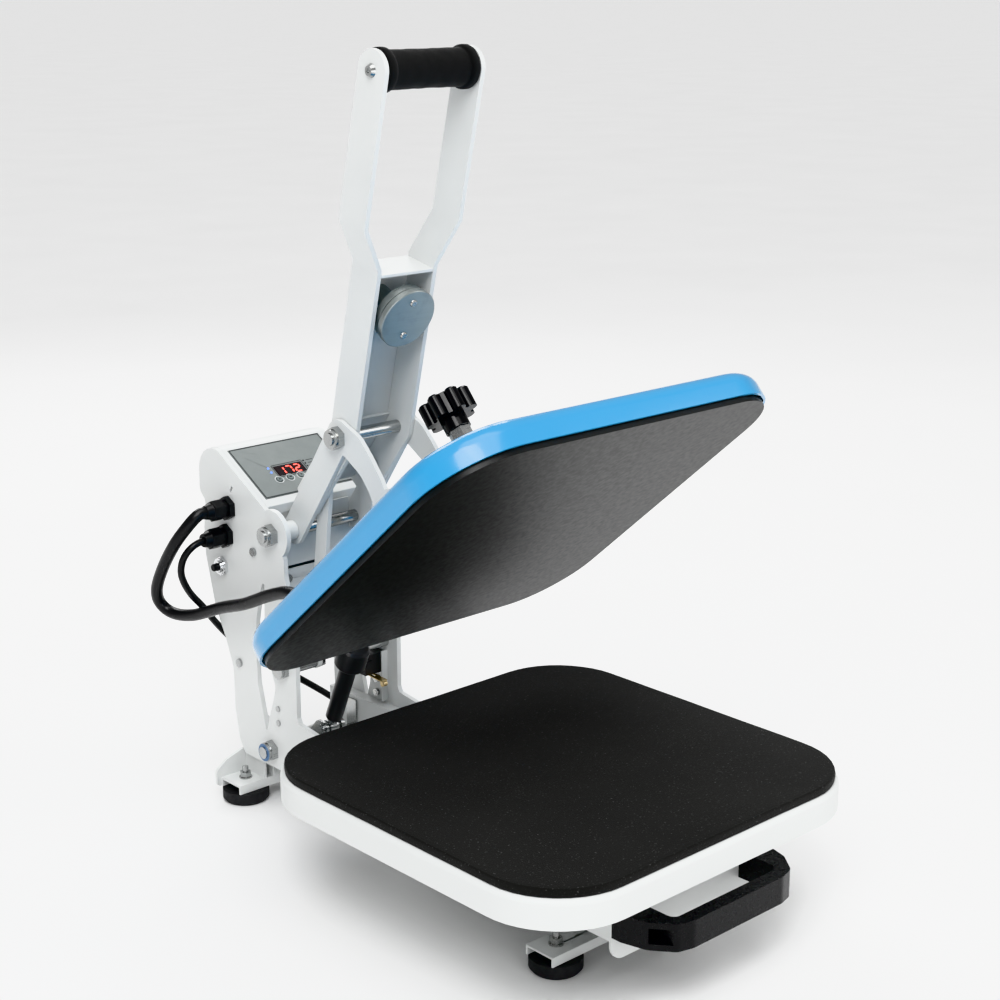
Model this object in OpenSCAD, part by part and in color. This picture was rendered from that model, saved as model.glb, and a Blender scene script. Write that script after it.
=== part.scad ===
// Auto-opening clamshell heat press with a slide-out print table.
// Millimetres, Z up, floor at z = 0, the operator stands on the -Y side.
// Rest state: press open, table drawn forward. Every solid is drawn in that state.

/* [Print table] */
// Side length of the square foam pad
pad_size = 380; // [300:5:450]
// Thickness of the foam pad
pad_thick = 8; // [5:1:12]
// Height of the pad's top face above the floor
pad_top = 135; // [120:1:160]
// Corner radius of the pad seen from above
pad_corner = 72; // [40:1:90]
// How far the table slides back under the platen
table_travel = 93; // [80:1:110]

/* [Heat platen] */
// Outside length of the platen cover
cover_size = 388; // [320:2:460]
// Height of the platen cover
cover_height = 26.5; // [20:0.5:45]
// Side length of the aluminium heat plate
plate_size = 380; // [300:5:450]
// How far the heat plate stands out of the cover
plate_drop = 5; // [2:0.5:10]
// Opening angle of the platen
open_angle = 41; // [30:1:50]

/* [Side towers] */
// Distance between the outer faces of the two towers
tower_width = 130; // [110:1:160]
// Thickness of the tower plates
tower_thick = 5; // [3:0.5:8]

/* [Lever] */
// Distance from the lever pivot to the middle of the grip
lever_length = 338.5; // [250:0.5:420]
// Width of the lever bars
bar_width = 36; // [25:1:45]
// Diameter of the foam grip
grip_diameter = 34; // [25:1:40]
// Distance between the outer faces of the bars at the grip
grip_span = 112; // [90:1:140]

/* [Feet] */
// Diameter of the rubber feet
foot_diameter = 46; // [30:1:60]
// Height of the rubber feet below the channels
foot_height = 12.5; // [8:0.5:20]

/* [Hidden] */

// The pad centre is the drawing's y = 0. The object's origin is its middle on the floor.
shift_y = -125.52;

// Pivot axes, all parallel to X, as [y, z].
arm_pivot = [321, 282.5];
lever_pivot = [248.5, 385.5];
link_foot = [309, 151];
link_head = [284, 340.5];
spring_foot = [322, 70];
spring_head = [250, 235];
tower_bolt = [332, 60.5];

white = [0.86, 0.87, 0.86];
zinc = [0.72, 0.73, 0.74];
black = [0.05, 0.05, 0.055];
blue = [0.16, 0.52, 0.86];

tower_out = tower_width / 2;
tower_in = tower_out - tower_thick;
channel_top = 22;
tray_bottom = 102;
tray_top = pad_top - pad_thick;
tray_half = pad_size / 2 + 3;
cover_half = cover_size / 2;
plate_half = plate_size / 2;
cover_corner = 70;
cover_round = 14;
arm_in = 35;
arm_out = 39.5;
bar_in = 30;
bar_out = 34.5;
gland_high = [390, 295];
gland_low = [395, 266];
breaker_at = [404, 233];
switch_holes = [[319.5, 107], [319.5, 92.4]];
platen_centre = [58, 328];

// ---- Helpers ---------------------------------------------------------------

function unit(v) = v / norm(v);
function turn(p, a) = [p[0] * cos(a) - p[1] * sin(a), p[0] * sin(a) + p[1] * cos(a)];

// Arc points that round the corner at b between a and c.
function corner(a, b, c, r, n = 6) =
  r <= 0 ? [b] :
  let (
    u = unit(a - b),
    v = unit(c - b),
    half = acos(max(-1, min(1, u * v))) / 2,
    t = r / tan(half),
    m = b + unit(u + v) * r / sin(half),
    p0 = b + u * t - m,
    p1 = b + v * t - m,
    a0 = atan2(p0[1], p0[0]),
    turn_by = (atan2(p1[1], p1[0]) - a0 + 540) % 360 - 180
  )
  [for (i = [0:n]) m + r * [cos(a0 + turn_by * i / n), sin(a0 + turn_by * i / n)]];

// A closed outline from [x, y, corner radius] entries.
function outline(p) = [
  for (i = [0:len(p) - 1])
    let (
      n = len(p),
      a = [p[(i + n - 1) % n][0], p[(i + n - 1) % n][1]],
      b = [p[i][0], p[i][1]],
      c = [p[(i + 1) % n][0], p[(i + 1) % n][1]]
    )
    each corner(a, b, c, p[i][2])
];

// Puts the drawing's frame on the object's origin.
module place() {
  translate([0, shift_y, 0]) children();
}

// A flat part drawn as (y, z) and given thickness from x0 to x1.
module side(x0, x1) {
  translate([x0, 0, 0])
    rotate([90, 0, 90])
      linear_extrude(x1 - x0) children();
}

// Cylinder along X at (y, z).
module rod_x(p, r, x0, x1, fn = 48) {
  translate([x0, p[0], p[1]])
    rotate([0, 90, 0])
      cylinder(r = r, h = x1 - x0, $fn = fn);
}

module hex_x(p, flats, x0, x1) {
  translate([x0, p[0], p[1]])
    rotate([0, 90, 0])
      cylinder(d = flats / cos(30), h = x1 - x0, $fn = 6);
}

module box(x0, x1, y0, y1, z0, z1) {
  translate([x0, y0, z0]) cube([x1 - x0, y1 - y0, z1 - z0]);
}

module mirrored() {
  children();
  mirror([1, 0, 0]) children();
}

// The platen's own frame: X across, Y to the hinge side, Z away from the table.
module in_platen() {
  translate([0, platen_centre[0], platen_centre[1]])
    rotate([-open_angle, 0, 0]) children();
}

// The lever's own frame: origin on its pivot, Z up along the bars, Y to the rear.
lever_lean = 13.25;
module in_lever() {
  translate([0, lever_pivot[0], lever_pivot[1]])
    rotate([lever_lean, 0, 0]) children();
}

// The sloped control panel's frame: origin on its lower front edge, Y up the slope.
panel_foot = [331, 305];
panel_slope = 30.3;
module in_panel() {
  translate([0, panel_foot[0], panel_foot[1]])
    rotate([panel_slope, 0, 0]) children();
}

// Square slab with round corners, its top edge rounded too.
module soft_slab(half, r, z0, z1, edge) {
  hull()
    for (sx = [-1, 1])
      for (sy = [-1, 1])
        translate([sx * (half - r), sy * (half - r), 0])
          rotate_extrude($fn = 48) {
            translate([0, z0]) square([r, z1 - z0 - edge]);
            translate([0, z1 - edge - 0.01]) square([r - edge, edge + 0.01]);
            translate([r - edge, z1 - edge]) intersection() {
              circle(r = edge, $fn = 32);
              square(edge);
            }
          }
}

module round_square(half, r) {
  polygon(outline([[-half, -half, r], [half, -half, r], [half, half, r], [-half, half, r]]));
}

// ---- Towers ----------------------------------------------------------------

module tower_outline() {
  polygon(outline([
    [331, 305, 0], [406, 349, 12], [439, 355, 26], [439, 303, 8], [430, 294, 6],
    [434, 266, 20], [433, 238, 20], [420, 188, 30], [405, 160, 20], [393, 130, 20],
    [392, 85, 30], [386, 55, 10], [378, 43, 3], [236, 43, 4], [238, 92, 6],
    [262, 97, 6], [287, 100.5, 2], [289.5, 106, 2], [289.5, 190, 20], [303, 245, 20],
    [303.2, 261, 0], [309, 270, 0], [325, 284, 0]
  ]));
  translate(arm_pivot) circle(r = 24, $fn = 64);
}

module tower_window() {
  polygon(outline([
    [335, 240, 2], [344, 218, 20], [351, 190, 30], [353, 160, 20], [352, 125, 20],
    [346, 100, 15], [340, 76, 1], [334, 96, 15], [328, 112, 12], [323, 128, 10],
    [331, 148, 15], [338, 190, 30]
  ]));
}

module tower_plate() {
  side(tower_in, tower_out)
    difference() {
      tower_outline();
      tower_window();
      translate(arm_pivot) circle(r = 6.05, $fn = 48);
      translate(link_foot) circle(r = 5.05, $fn = 48);
      translate(tower_bolt) circle(r = 6.05, $fn = 48);
      translate([262, 60.5]) circle(r = 6.05, $fn = 48);
      for (p = switch_holes) translate(p) circle(r = 2.1, $fn = 32);
      translate([381, 138]) circle(r = 2.6, $fn = 32);
      translate([351, 259]) circle(r = 2.6, $fn = 32);
    }
}

module side_plate_left() {
  color(white) place() mirror([1, 0, 0])
    difference() {
      tower_plate();
      rod_x(gland_high, 8.05, tower_in - 1, tower_out + 1);
      rod_x(gland_low, 7.05, tower_in - 1, tower_out + 1);
      rod_x(breaker_at, 6.05, tower_in - 1, tower_out + 1);
      side(tower_in - 1, tower_out + 1)
        translate([385, 314]) rotate(-60) square([7, 2.4], center = true);
    }
}

module side_plate_right() {
  color(white) place() tower_plate();
}

// ---- Base ------------------------------------------------------------------

// Inverted U channel along X.
module channel(half, y0, y1) {
  difference() {
    box(-half, half, y0, y1, channel_top - 9, channel_top);
    box(-half - 1, half + 1, y0 + 2, y1 - 2, channel_top - 10, channel_top - 2);
  }
}

foot_front = [80.7, -80.6];
foot_rear = [72, 369];

module stud_holes(p) {
  for (sx = [-1, 1])
    translate([sx * p[0], p[1], 0]) cylinder(r = 3.05, h = 40, $fn = 32);
}

module front_channel() {
  color(white) place()
    difference() {
      union() {
        channel(100, -96.6, -64.6);
        box(-60, 60, -64.6, -53.8, channel_top - 2, channel_top);
        box(-60, 60, -53.8, -50.8, channel_top - 2, 45.8);
        mirrored() box(48, 60, -53.8, -50.8, 45, 84);
      }
      stud_holes(foot_front);
    }
}

module rear_channel() {
  color(white) place()
    difference() {
      union() {
        channel(90, 353, 385);
        translate([0, 388, 0]) rotate([90, 0, 0]) linear_extrude(3)
          polygon(outline([
            [-95, 13, 4], [-95, 30, 6], [-82, 39, 10], [-64, 45, 2],
            [64, 45, 2], [82, 39, 10], [95, 30, 6], [95, 13, 4]
          ]));
        mirrored() {
          box(48.2, 50.2, 353, 384.9, channel_top - 1, 45.8);
          box(57.8, 59.8, 353, 384.9, channel_top - 1, 45.8);
        }
      }
      stud_holes(foot_rear);
    }
}

module base_rails() {
  color(white) place() mirrored()
    difference() {
      box(48, tower_in, -50.7, 385, 45.8, 84);
      box(50.5, tower_in - 2.5, -60, 390, 48.3, 81.5);
      rod_x(tower_bolt, 6.05, 54, 70);
      rod_x([262, 60.5], 6.05, 54, 70);
    }
}

// Outer slide members, open towards the middle.
module slide_rails() {
  color(zinc) place() mirrored()
    difference() {
      box(41.5, 47.9, -48, 250, 54, 76);
      box(41, 46.4, -49, 251, 55.5, 74.5);
    }
}

module feet() {
  color(black) place()
    for (p = [foot_front, foot_rear])
      for (sx = [-1, 1])
        translate([sx * p[0], p[1], 0])
          difference() {
            union() {
              cylinder(d1 = foot_diameter - 5, d2 = foot_diameter, h = 3, $fn = 64);
              translate([0, 0, 3]) cylinder(d = foot_diameter, h = foot_height - 3, $fn = 64);
              cylinder(r = 12, h = channel_top - 2.05, $fn = 48);
            }
            translate([0, 0, 6]) cylinder(r = 3.05, h = 40, $fn = 32);
          }
}

module foot_bolts() {
  color(zinc) place()
    for (p = [foot_front, foot_rear])
      for (sx = [-1, 1])
        translate([sx * p[0], p[1], 0]) {
          translate([0, 0, 8]) cylinder(r = 3, h = 25.5, $fn = 32);
          translate([0, 0, channel_top]) cylinder(r = 6.5, h = 1.2, $fn = 40);
          translate([0, 0, channel_top + 1.1]) cylinder(d = 10 / cos(30), h = 5.2, $fn = 6);
        }
}

// Nylon-insert nut with its outer face at x1.
module lock_nut(p, flats, x0, x1) {
  hex_x(p, flats, x0, x1 - 3);
  rod_x(p, flats / 2 - 0.6, x1 - 3.01, x1);
}

module tower_bolts() {
  color(zinc) place() mirrored() {
    rod_x(tower_bolt, 6, 51, 76.5);
    lock_nut(tower_bolt, 19, tower_out, tower_out + 10);
    hex_x(tower_bolt, 19, 50.6, 57.5);
    rod_x([262, 60.5], 6, 51, tower_out + 2);
    hex_x([262, 60.5], 19, 50.6, 57.5);
  }
}

module main_shaft() {
  color(zinc) place() {
    rod_x(arm_pivot, 6, -77.5, 77.5);
    mirrored() lock_nut(arm_pivot, 19, tower_out, tower_out + 11);
  }
}

module shaft_spacers() {
  color(white) place() mirrored()
    difference() {
      rod_x(arm_pivot, 9.5, arm_out + 0.5, tower_in);
      rod_x(arm_pivot, 6.05, 30, 70);
    }
}

module link_studs() {
  color(zinc) place() mirrored() {
    rod_x(link_foot, 5, 21, 71);
    difference() {
      rod_x(link_foot, 7, 29.2, tower_in);
      rod_x(link_foot, 5, 20, 62);
    }
    lock_nut(link_foot, 17, tower_out, tower_out + 8);
    hex_x(link_foot, 15, 20, 23.6);
  }
}

// ---- Control box -----------------------------------------------------------

module shell_outline(inset = 0) {
  polygon(outline([
    [333 + inset, 306.2 + inset * 0.5, 1], [406, 349 - inset, 11],
    [439 - inset, 355 - inset, 25 - inset], [439 - inset, 300 + inset, 4],
    [431, 282 + inset, 3], [352 + inset, 282 + inset, 4], [335 + inset, 297 + inset, 3]
  ]));
}

module control_shell() {
  color(white) place()
    difference() {
      side(-59.8, 59.8) shell_outline();
      side(-57.8, 57.8) shell_outline(2);
      in_panel() {
        box(-55.5, 55.5, 12, 84, -0.7, 5);
        for (i = [0:3]) translate([-26 + 13 * i, 33, -8]) cylinder(r = 3.4, h = 12, $fn = 32);
        box(-24, 12, 36, 52, -8, 5);
        box(-30.5, -26.5, 40, 54, -8, 5);
        box(12.5, 16.5, 40, 54, -8, 5);
      }
      for (sx = [-1, 1])
        for (p = [gland_high, gland_low, breaker_at])
          rod_x(p, 8.6, -70, -50);
      rod_x([381, 138], 2, -70, 70);
    }
}

module panel_overlay() {
  color([0.42, 0.45, 0.45]) place() in_panel()
    difference() {
      box(-55, 54, 12.5, 83.5, -0.6, 0.5);
      for (i = [0:3]) translate([-26 + 13 * i, 33, -8]) cylinder(r = 3.4, h = 12, $fn = 32);
      box(-23, 11, 37, 51, -8, 5);
      for (y = [44, 50]) translate([-28.5, y, -3]) cylinder(r = 1, h = 6, $fn = 24);
      for (y = [43, 47, 51]) translate([14.5, y, -3]) cylinder(r = 1, h = 6, $fn = 24);
    }
}

module display_window() {
  color([0.06, 0.07, 0.07]) place() in_panel()
    difference() {
      box(-22.9, 10.9, 37.1, 50.9, -6, 0.3);
      box(-21.5, 9.5, 38.2, 49.8, -0.2, 1);
    }
}

// Seven-segment figure: one flag per bar, lit bars only.
module figure(lit, w = 6, h = 9.4) {
  t = 1.2;
  bars = [[0, h, 0], [w, h * 0.75, 90], [w, h * 0.25, 90], [0, 0, 0],
    [0, h * 0.25, 90], [0, h * 0.75, 90], [0, h / 2, 0]];
  for (i = lit)
    let (b = bars[i])
      if (b[2] == 0)
        translate([0.9, b[1] - t / 2, 0]) cube([w - 1.8, t, 0.35]);
      else
        translate([b[0] - t / 2, b[1] - h / 4 + 0.8, 0]) cube([t, h / 2 - 1.6, 0.35]);
}

module display_digits() {
  color([1, 0.1, 0.05]) place() in_panel()
    translate([0, 0, -0.2]) {
      translate([-18.6, 39.3, 0]) figure([1, 2]);
      translate([-9.3, 39.3, 0]) figure([0, 1, 2]);
      translate([0.2, 39.3, 0]) figure([0, 1, 3, 4, 6]);
    }
}

module status_leds() {
  color([0.1, 0.3, 1]) place() in_panel() {
    for (y = [44, 50]) translate([-28.5, y, -3]) cylinder(r = 0.95, h = 3.6, $fn = 24);
    for (y = [43, 47, 51]) translate([14.5, y, -3]) cylinder(r = 0.95, h = 3.6, $fn = 24);
  }
}

module push_button(i) {
  color([0.3, 0.33, 0.33]) place() in_panel()
    translate([-26 + 13 * i, 33, -4]) {
      cylinder(r = 3, h = 5.6, $fn = 40);
      translate([0, 0, -2]) cylinder(r = 1.4, h = 2.1, $fn = 24);
    }
}

module button_one() { push_button(0); }
module button_two() { push_button(1); }
module button_three() { push_button(2); }
module button_four() { push_button(3); }

module tower_cover() {
  color(white) place()
    difference() {
      union() {
        box(-59.8, 59.8, 329, 331, 176, 300);
        mirrored() box(57.8, 59.8, 330.9, 366, 246, 264);
      }
      box(-46, 46, 320, 340, 241.5, 244.5);
      mirrored() box(34.4, 62, 320, 340, 269, 310);
      for (sx = [-1, 1])
        translate([sx * 42, 320, 233]) rotate([-90, 0, 0]) cylinder(r = 2.1, h = 20, $fn = 24);
      rod_x([351, 259], 2.1, -70, 70);
    }
}

module small_screws() {
  color(zinc) place() {
    for (sx = [-1, 1])
      translate([sx * 42, 323, 233]) {
        translate([0, 3.2, 0]) rotate([-90, 0, 0]) cylinder(r = 4, h = 2.8, $fn = 32);
        rotate([-90, 0, 0]) translate([0, 0, 5.9]) cylinder(r = 2, h = 6, $fn = 24);
      }
    mirrored() {
      for (p = [[351, 259], [381, 138]]) {
        rod_x(p, 4.2, tower_out, tower_out + 2.4, 32);
        rod_x(p, 2, 56.5, tower_out + 0.1, 24);
      }
    }
    for (p = switch_holes) {
      rod_x(p, 2, 55, tower_out + 0.1, 24);
      rod_x(p, 3.8, tower_out, tower_out + 2.2, 32);
      hex_x(p, 7, 55.4, 58.4);
      rod_x(p, 2, -tower_out - 0.1, -57, 24);
      rod_x(p, 2.9, -tower_out - 1.2, -tower_out, 32);
    }
  }
}

// Hex cable gland pointing along -X from the left tower.
module gland(p, r) {
  rod_x(p, r, -tower_out - 0.01, -55);
  hex_x(p, 21, -tower_out - 6, -tower_out);
  hex_x(p, 18, -57.7, -55);
  rod_x(p, 8.4, -tower_out - 9, -tower_out - 6);
  hex_x(p, 18, -tower_out - 21, -tower_out - 9);
  translate([-tower_out - 21, p[0], p[1]])
    rotate([0, -90, 0]) cylinder(r1 = 8.4, r2 = 6.6, h = 7, $fn = 48);
}

module cable_glands() {
  color(black) place() {
    difference() {
      gland(gland_high, 8);
      rod_x(gland_high, 6.25, -tower_out - 30, -50);
    }
    difference() {
      gland(gland_low, 7);
      rod_x(gland_low, 3.6, -tower_out - 30, -50);
    }
  }
}

module breaker_body() {
  color(zinc) place()
    difference() {
      union() {
        rod_x(breaker_at, 6, -tower_out - 7, -56);
        hex_x(breaker_at, 17, -tower_out - 3.5, -tower_out);
        rod_x(breaker_at, 8, -tower_out - 5.2, -tower_out - 3.5);
        box(-56, -38, breaker_at[0] - 9, breaker_at[0] + 9, breaker_at[1] - 12, breaker_at[1] + 12);
      }
      rod_x(breaker_at, 4.1, -tower_out - 10, -60);
    }
}

module reset_button() {
  color(black) place() {
    rod_x(breaker_at, 3.7, -tower_out - 11, -61.5, 32);
    rod_x(breaker_at, 3.2, -tower_out - 12, -tower_out - 11, 32);
  }
}

// ---- Closing switch on the right tower -------------------------------------

module switch_bracket() {
  color([0.9, 0.9, 0.88]) place()
    difference() {
      union() {
        side(58.4, 59.9)
          polygon(outline([[306, 88, 3], [331, 88, 3], [331, 141, 3], [306, 141, 3]]));
        box(52.4, 59.9, 304.5, 306, 88, 141);
      }
      for (p = switch_holes) rod_x(p, 2.1, 30, 70, 32);
    }
}

module limit_switch() {
  color(black) place()
    difference() {
      box(33, 58.4, 306.1, 331, 119, 140);
      for (p = [[313, 134], [325, 125]]) rod_x(p, 1.6, 30, 62, 24);
      box(32, 40, 300, 340, 133.5, 134.5);
    }
}

module switch_lever() {
  color([0.8, 0.62, 0.3]) place() {
    translate([0, 326, 117.4]) rotate([4, 0, 0])
      difference() {
        box(41, 49, -34, 3, -0.5, 0.5);
        box(44, 46, -20, -8, -2, 2);
      }
    rod_x([292.5, 112.2], 3, 42.5, 47.5, 32);
  }
}

// ---- Gas spring --------------------------------------------------------------

spring_dir = unit(spring_head - spring_foot);
spring_angle = atan2(spring_dir[0], spring_dir[1]);

module along_spring(p) {
  translate([0, p[0], p[1]]) rotate([-spring_angle, 0, 0]) children();
}

module spring_anchor() {
  color(zinc) place() {
    difference() {
      union() {
        box(-12, 12, 336, 355, 47, 50);
        mirrored() side(8, 11)
          polygon(outline([
            [314, 62, 6], [314, 78, 7], [330, 78, 7], [355, 50, 2], [355, 47, 0], [338, 47, 2]
          ]));
        box(-47.9, 47.9, 340, 355, 47, 50);
        mirrored() box(45.9, 47.9, 340, 355, 47, 80);
      }
      rod_x(spring_foot, 4.05, -20, 20);
    }
    rod_x(spring_foot, 4, -14, 14);
    mirrored() rod_x(spring_foot, 6, 11, 13.5);
  }
}

module gas_tube() {
  color(black) place() along_spring(spring_foot)
    difference() {
      union() {
        translate([0, 0, 13.5]) cylinder(r = 8.5, h = 89.5, $fn = 48);
        translate([0, 0, 80]) cylinder(r1 = 14, r2 = 15.5, h = 2, $fn = 64);
        translate([0, 0, 82]) cylinder(r = 15.5, h = 20, $fn = 64);
        translate([0, 0, 102]) cylinder(r1 = 15.5, r2 = 13, h = 2.5, $fn = 64);
      }
      translate([0, 0, 12]) cylinder(r = 3.05, h = 8, $fn = 32);
      translate([0, 0, 24]) cylinder(r = 4.06, h = 90, $fn = 48);
    }
}

module gas_tube_end() {
  color(zinc) place() along_spring(spring_foot)
    difference() {
      union() {
        rotate([0, 90, 0]) translate([0, 0, -5]) cylinder(r = 7.5, h = 10, $fn = 48);
        translate([0, 0, 6]) cylinder(r = 5, h = 2.5, $fn = 40);
        translate([0, 0, 8.4]) cylinder(r1 = 5, r2 = 8, h = 5.1, $fn = 48);
        translate([0, 0, 13.4]) cylinder(r = 3, h = 6, $fn = 32);
      }
      rotate([0, 90, 0]) translate([0, 0, -6]) cylinder(r = 4.06, h = 12, $fn = 48);
    }
}

module gas_rod() {
  color(zinc) place() along_spring(spring_head) {
    rotate([0, 90, 0]) translate([0, 0, -5]) cylinder(r = 7.5, h = 10, $fn = 48);
    rotate([0, 90, 0]) translate([0, 0, -5.6]) cylinder(r = 4, h = 11.2, $fn = 48);
    translate([0, 0, -15]) cylinder(r = 5, h = 9, $fn = 32);
    translate([0, 0, -92]) cylinder(r = 4, h = 78, $fn = 48);
  }
}

// ---- Links -------------------------------------------------------------------

link_vec = link_head - link_foot;
link_len = norm(link_vec);
link_angle = atan2(link_vec[0], link_vec[1]);

module links() {
  color(white) place() mirrored()
    translate([24, link_foot[0], link_foot[1]])
      rotate([-link_angle, 0, 0])
        difference() {
          union() {
            translate([0, -8, 0]) cube([4.5, 16, link_len]);
            rotate([0, 90, 0]) cylinder(r = 8, h = 4.5, $fn = 48);
            translate([0, 0, link_len]) rotate([0, 90, 0]) cylinder(r = 8, h = 4.5, $fn = 48);
            translate([-3, 0, link_len]) rotate([0, 90, 0]) cylinder(r = 5, h = 8.3, $fn = 48);
            translate([-3.6, 0, link_len]) rotate([0, 90, 0]) cylinder(d = 15 / cos(30), h = 3.7, $fn = 6);
          }
          translate([-1, 0, 0]) rotate([0, 90, 0]) cylinder(r = 5.06, h = 7, $fn = 48);
        }
}

// ---- Sliding print table -----------------------------------------------------

module print_tray() {
  color(white) place()
    difference() {
      soft_slab(tray_half, pad_corner + 3, tray_bottom, tray_top, 5);
      translate([0, 0, tray_bottom - 1])
        linear_extrude(tray_top - tray_bottom - 1.2) round_square(tray_half - 2, pad_corner + 1);
    }
}

module foam_pad() {
  color(black) place()
    soft_slab(pad_size / 2, pad_corner, tray_top, pad_top, 2.5);
}

module drawer_frame() {
  color(white) place()
    difference() {
      union() {
        translate([0, -149.5, 0]) rotate([90, 0, 0]) linear_extrude(2.5)
          polygon(outline([
            [-90, 37, 14], [90, 37, 14], [90, tray_bottom, 0.5], [-90, tray_bottom, 0.5]
          ]));
        mirrored() {
          box(87.5, 90, -149.5, 132, 55, tray_bottom);
          box(36, 39, 112, 132, 74, 99.5);
          box(36, 46, -149.5, -146.5, 56, 84);
        }
        box(-87.5, 87.5, 112, 132, 99.5, tray_bottom);
        box(-87.5, 87.5, -149.5, -125, 99.5, tray_bottom);
        for (x = [-92.5, 62.5]) box(x + 5, x + 25, -100, 100, 99.5, tray_bottom);
      }
      for (sx = [-1, 1])
        translate([sx * 77, -160, 71]) rotate([-90, 0, 0]) cylinder(r = 2.6, h = 20, $fn = 24);
      mirrored() box(86, 91, -118, -112, 54, 59);
    }
}

module drawer_runners() {
  color(zinc) place() mirrored()
    difference() {
      box(36, 45.9, -146.5, 140, 56, 74);
      box(35, 42, -147.5, 111, 60, 70);
      for (y = [-120, -60, 0, 60, 120])
        translate([40, y, 65]) rotate([0, 90, 0]) cylinder(r = 3, h = 10, $fn = 24);
    }
}

handle_z = 59;
handle_tall = 24;

module pull_handle() {
  color(black) place()
    difference() {
      translate([0, 0, handle_z]) linear_extrude(handle_tall)
        difference() {
          polygon(outline([
            [-90, -152, 0], [-90, -162, 8], [-84, -184, 14], [-69, -203, 10], [-54, -207, 20],
            [54, -207, 20], [69, -203, 10], [84, -184, 14], [90, -162, 8], [90, -152, 0]
          ]));
          polygon(outline([
            [-64, -151, 0], [-64, -194, 7], [64, -194, 7], [64, -151, 0]
          ]));
        }
      for (sx = [-1, 1]) {
        translate([sx * 77 - 6, -212, 64.5]) cube([12, 50, 13]);
        translate([sx * 77, -164, 71]) rotate([-90, 0, 0]) cylinder(r = 2.55, h = 20, $fn = 24);
      }
    }
}

module handle_screws() {
  color(zinc) place()
    for (sx = [-1, 1])
      translate([sx * 77, -166.6, 71]) rotate([-90, 0, 0])
        difference() {
          union() {
            cylinder(r = 4.4, h = 4.6, $fn = 40);
            cylinder(r = 2.5, h = 20.5, $fn = 24);
            translate([0, 0, 17.1]) cylinder(d = 8 / cos(30), h = 3, $fn = 6);
          }
          translate([0, 0, -1]) cylinder(d = 4 / cos(30), h = 3, $fn = 6);
        }
}

// ---- Platen arm ----------------------------------------------------------------

arm_dir = unit(lever_pivot - arm_pivot);
arm_side = [arm_dir[1], -arm_dir[0]];

// Web beside the bridge, drawn in the platen's frame as [y, z].
module foot_web() {
  polygon(outline([
    [-36, 60, 3], [-34, 76, 8], [-14, 86, 12], [62, 86, 14], [79, 98, 0],
    [104, 98, 0], [113, 80, 10], [116, 60, 3]
  ]));
}

module arm_outline() {
  difference() {
    union() {
      translate(arm_pivot) circle(r = 14, $fn = 64);
      translate(lever_pivot) circle(r = 16.5, $fn = 64);
      polygon([
        arm_pivot + 14 * arm_side, lever_pivot + 16.4 * arm_side,
        lever_pivot - 14 * arm_side, arm_pivot - 14 * arm_side
      ]);
      polygon(outline([
        [262, 395, 0], [246, 402, 14], [219, 391, 30], [203, 375, 30], [188, 357, 20],
        [180.5, 345, 0], [197, 327, 0], [204, 341, 30], [217, 356, 30], [238, 368.5, 1],
        [248, 372, 0]
      ]));
    }
    translate(lever_pivot) circle(r = 6.03, $fn = 48);
    translate(arm_pivot) circle(r = 6.06, $fn = 48);
  }
}

module arm_plate() {
  side(arm_in, arm_out) arm_outline();
  in_platen() side(arm_in, arm_out) foot_web();
}

module arm_plate_left() {
  color(white) place() mirror([1, 0, 0]) arm_plate();
}

module arm_plate_right() {
  color(white) place() arm_plate();
}

module arm_bridge() {
  color(white) place()
    difference() {
      in_platen() {
        box(-34.9, 34.9, -34, 112, 60, 65);
        box(-34.9, 34.9, -34, -30, 65, 78);
        box(-34.9, 34.9, 96, 100, 65, 92);
        box(-11, 11, 112, 196, 60, 65);
        translate([0, 0, 64.9]) cylinder(r = 15, h = 21, $fn = 64);
        mirrored() side(7.2, 11)
          polygon(outline([[176, 60, 0], [196, 65, 0], [217, 64, 8], [217, 47, 9], [196, 47, 9]]));
        for (x = [-24, 24]) for (y = [-24, 86])
          translate([x, y, 40]) cylinder(r = 6, h = 20.1, $fn = 32);
      }
      in_platen() {
        translate([0, 0, 50]) cylinder(r = 6.35, h = 60, $fn = 48);
        for (x = [-24, 24]) for (y = [-24, 86])
          translate([x, y, 20]) cylinder(r = 4.3, h = 38, $fn = 32);
      }
    }
}

module platen_cover() {
  color(blue) place() in_platen()
    difference() {
      soft_slab(cover_half, cover_corner, 0, cover_height, cover_round);
      translate([0, 0, -1]) linear_extrude(13) round_square(cover_half - 2, cover_corner - 2);
      translate([0, 0, 11.9]) linear_extrude(cover_height - 13.9)
        round_square(cover_half - 16, cover_corner - 14);
    }
}

module heat_plate() {
  color([0.1, 0.1, 0.11]) place() in_platen() {
    difference() {
      soft_slab(plate_half, cover_corner - 4, -plate_drop, 9, 1);
      translate([0, 0, 5]) linear_extrude(5) round_square(plate_half - 30, cover_corner - 30);
    }
    for (x = [-24, 24]) for (y = [-24, 86])
      translate([x, y, 4.9]) cylinder(r = 12, h = cover_height - 2 - 4.9, $fn = 48);
  }
}

// Threaded pressure screw with its flange, guide pins and lock nut.
module pressure_stud() {
  color(zinc) place() in_platen() {
    translate([0, 0, cover_height]) cylinder(r = 28, h = 4, $fn = 64);
    translate([0, 0, cover_height]) cylinder(r = 6, h = 101.5, $fn = 48);
    translate([0, 0, 87.2]) cylinder(r = 13, h = 8, $fn = 64);
    translate([0, 0, 95.2]) cylinder(d = 19 / cos(30), h = 10, $fn = 6);
    for (x = [-24, 24]) for (y = [-24, 86])
      translate([x, y, cover_height]) {
        cylinder(r = 4, h = 28, $fn = 32);
        cylinder(r = 9, h = 3, $fn = 48);
      }
  }
}

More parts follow.
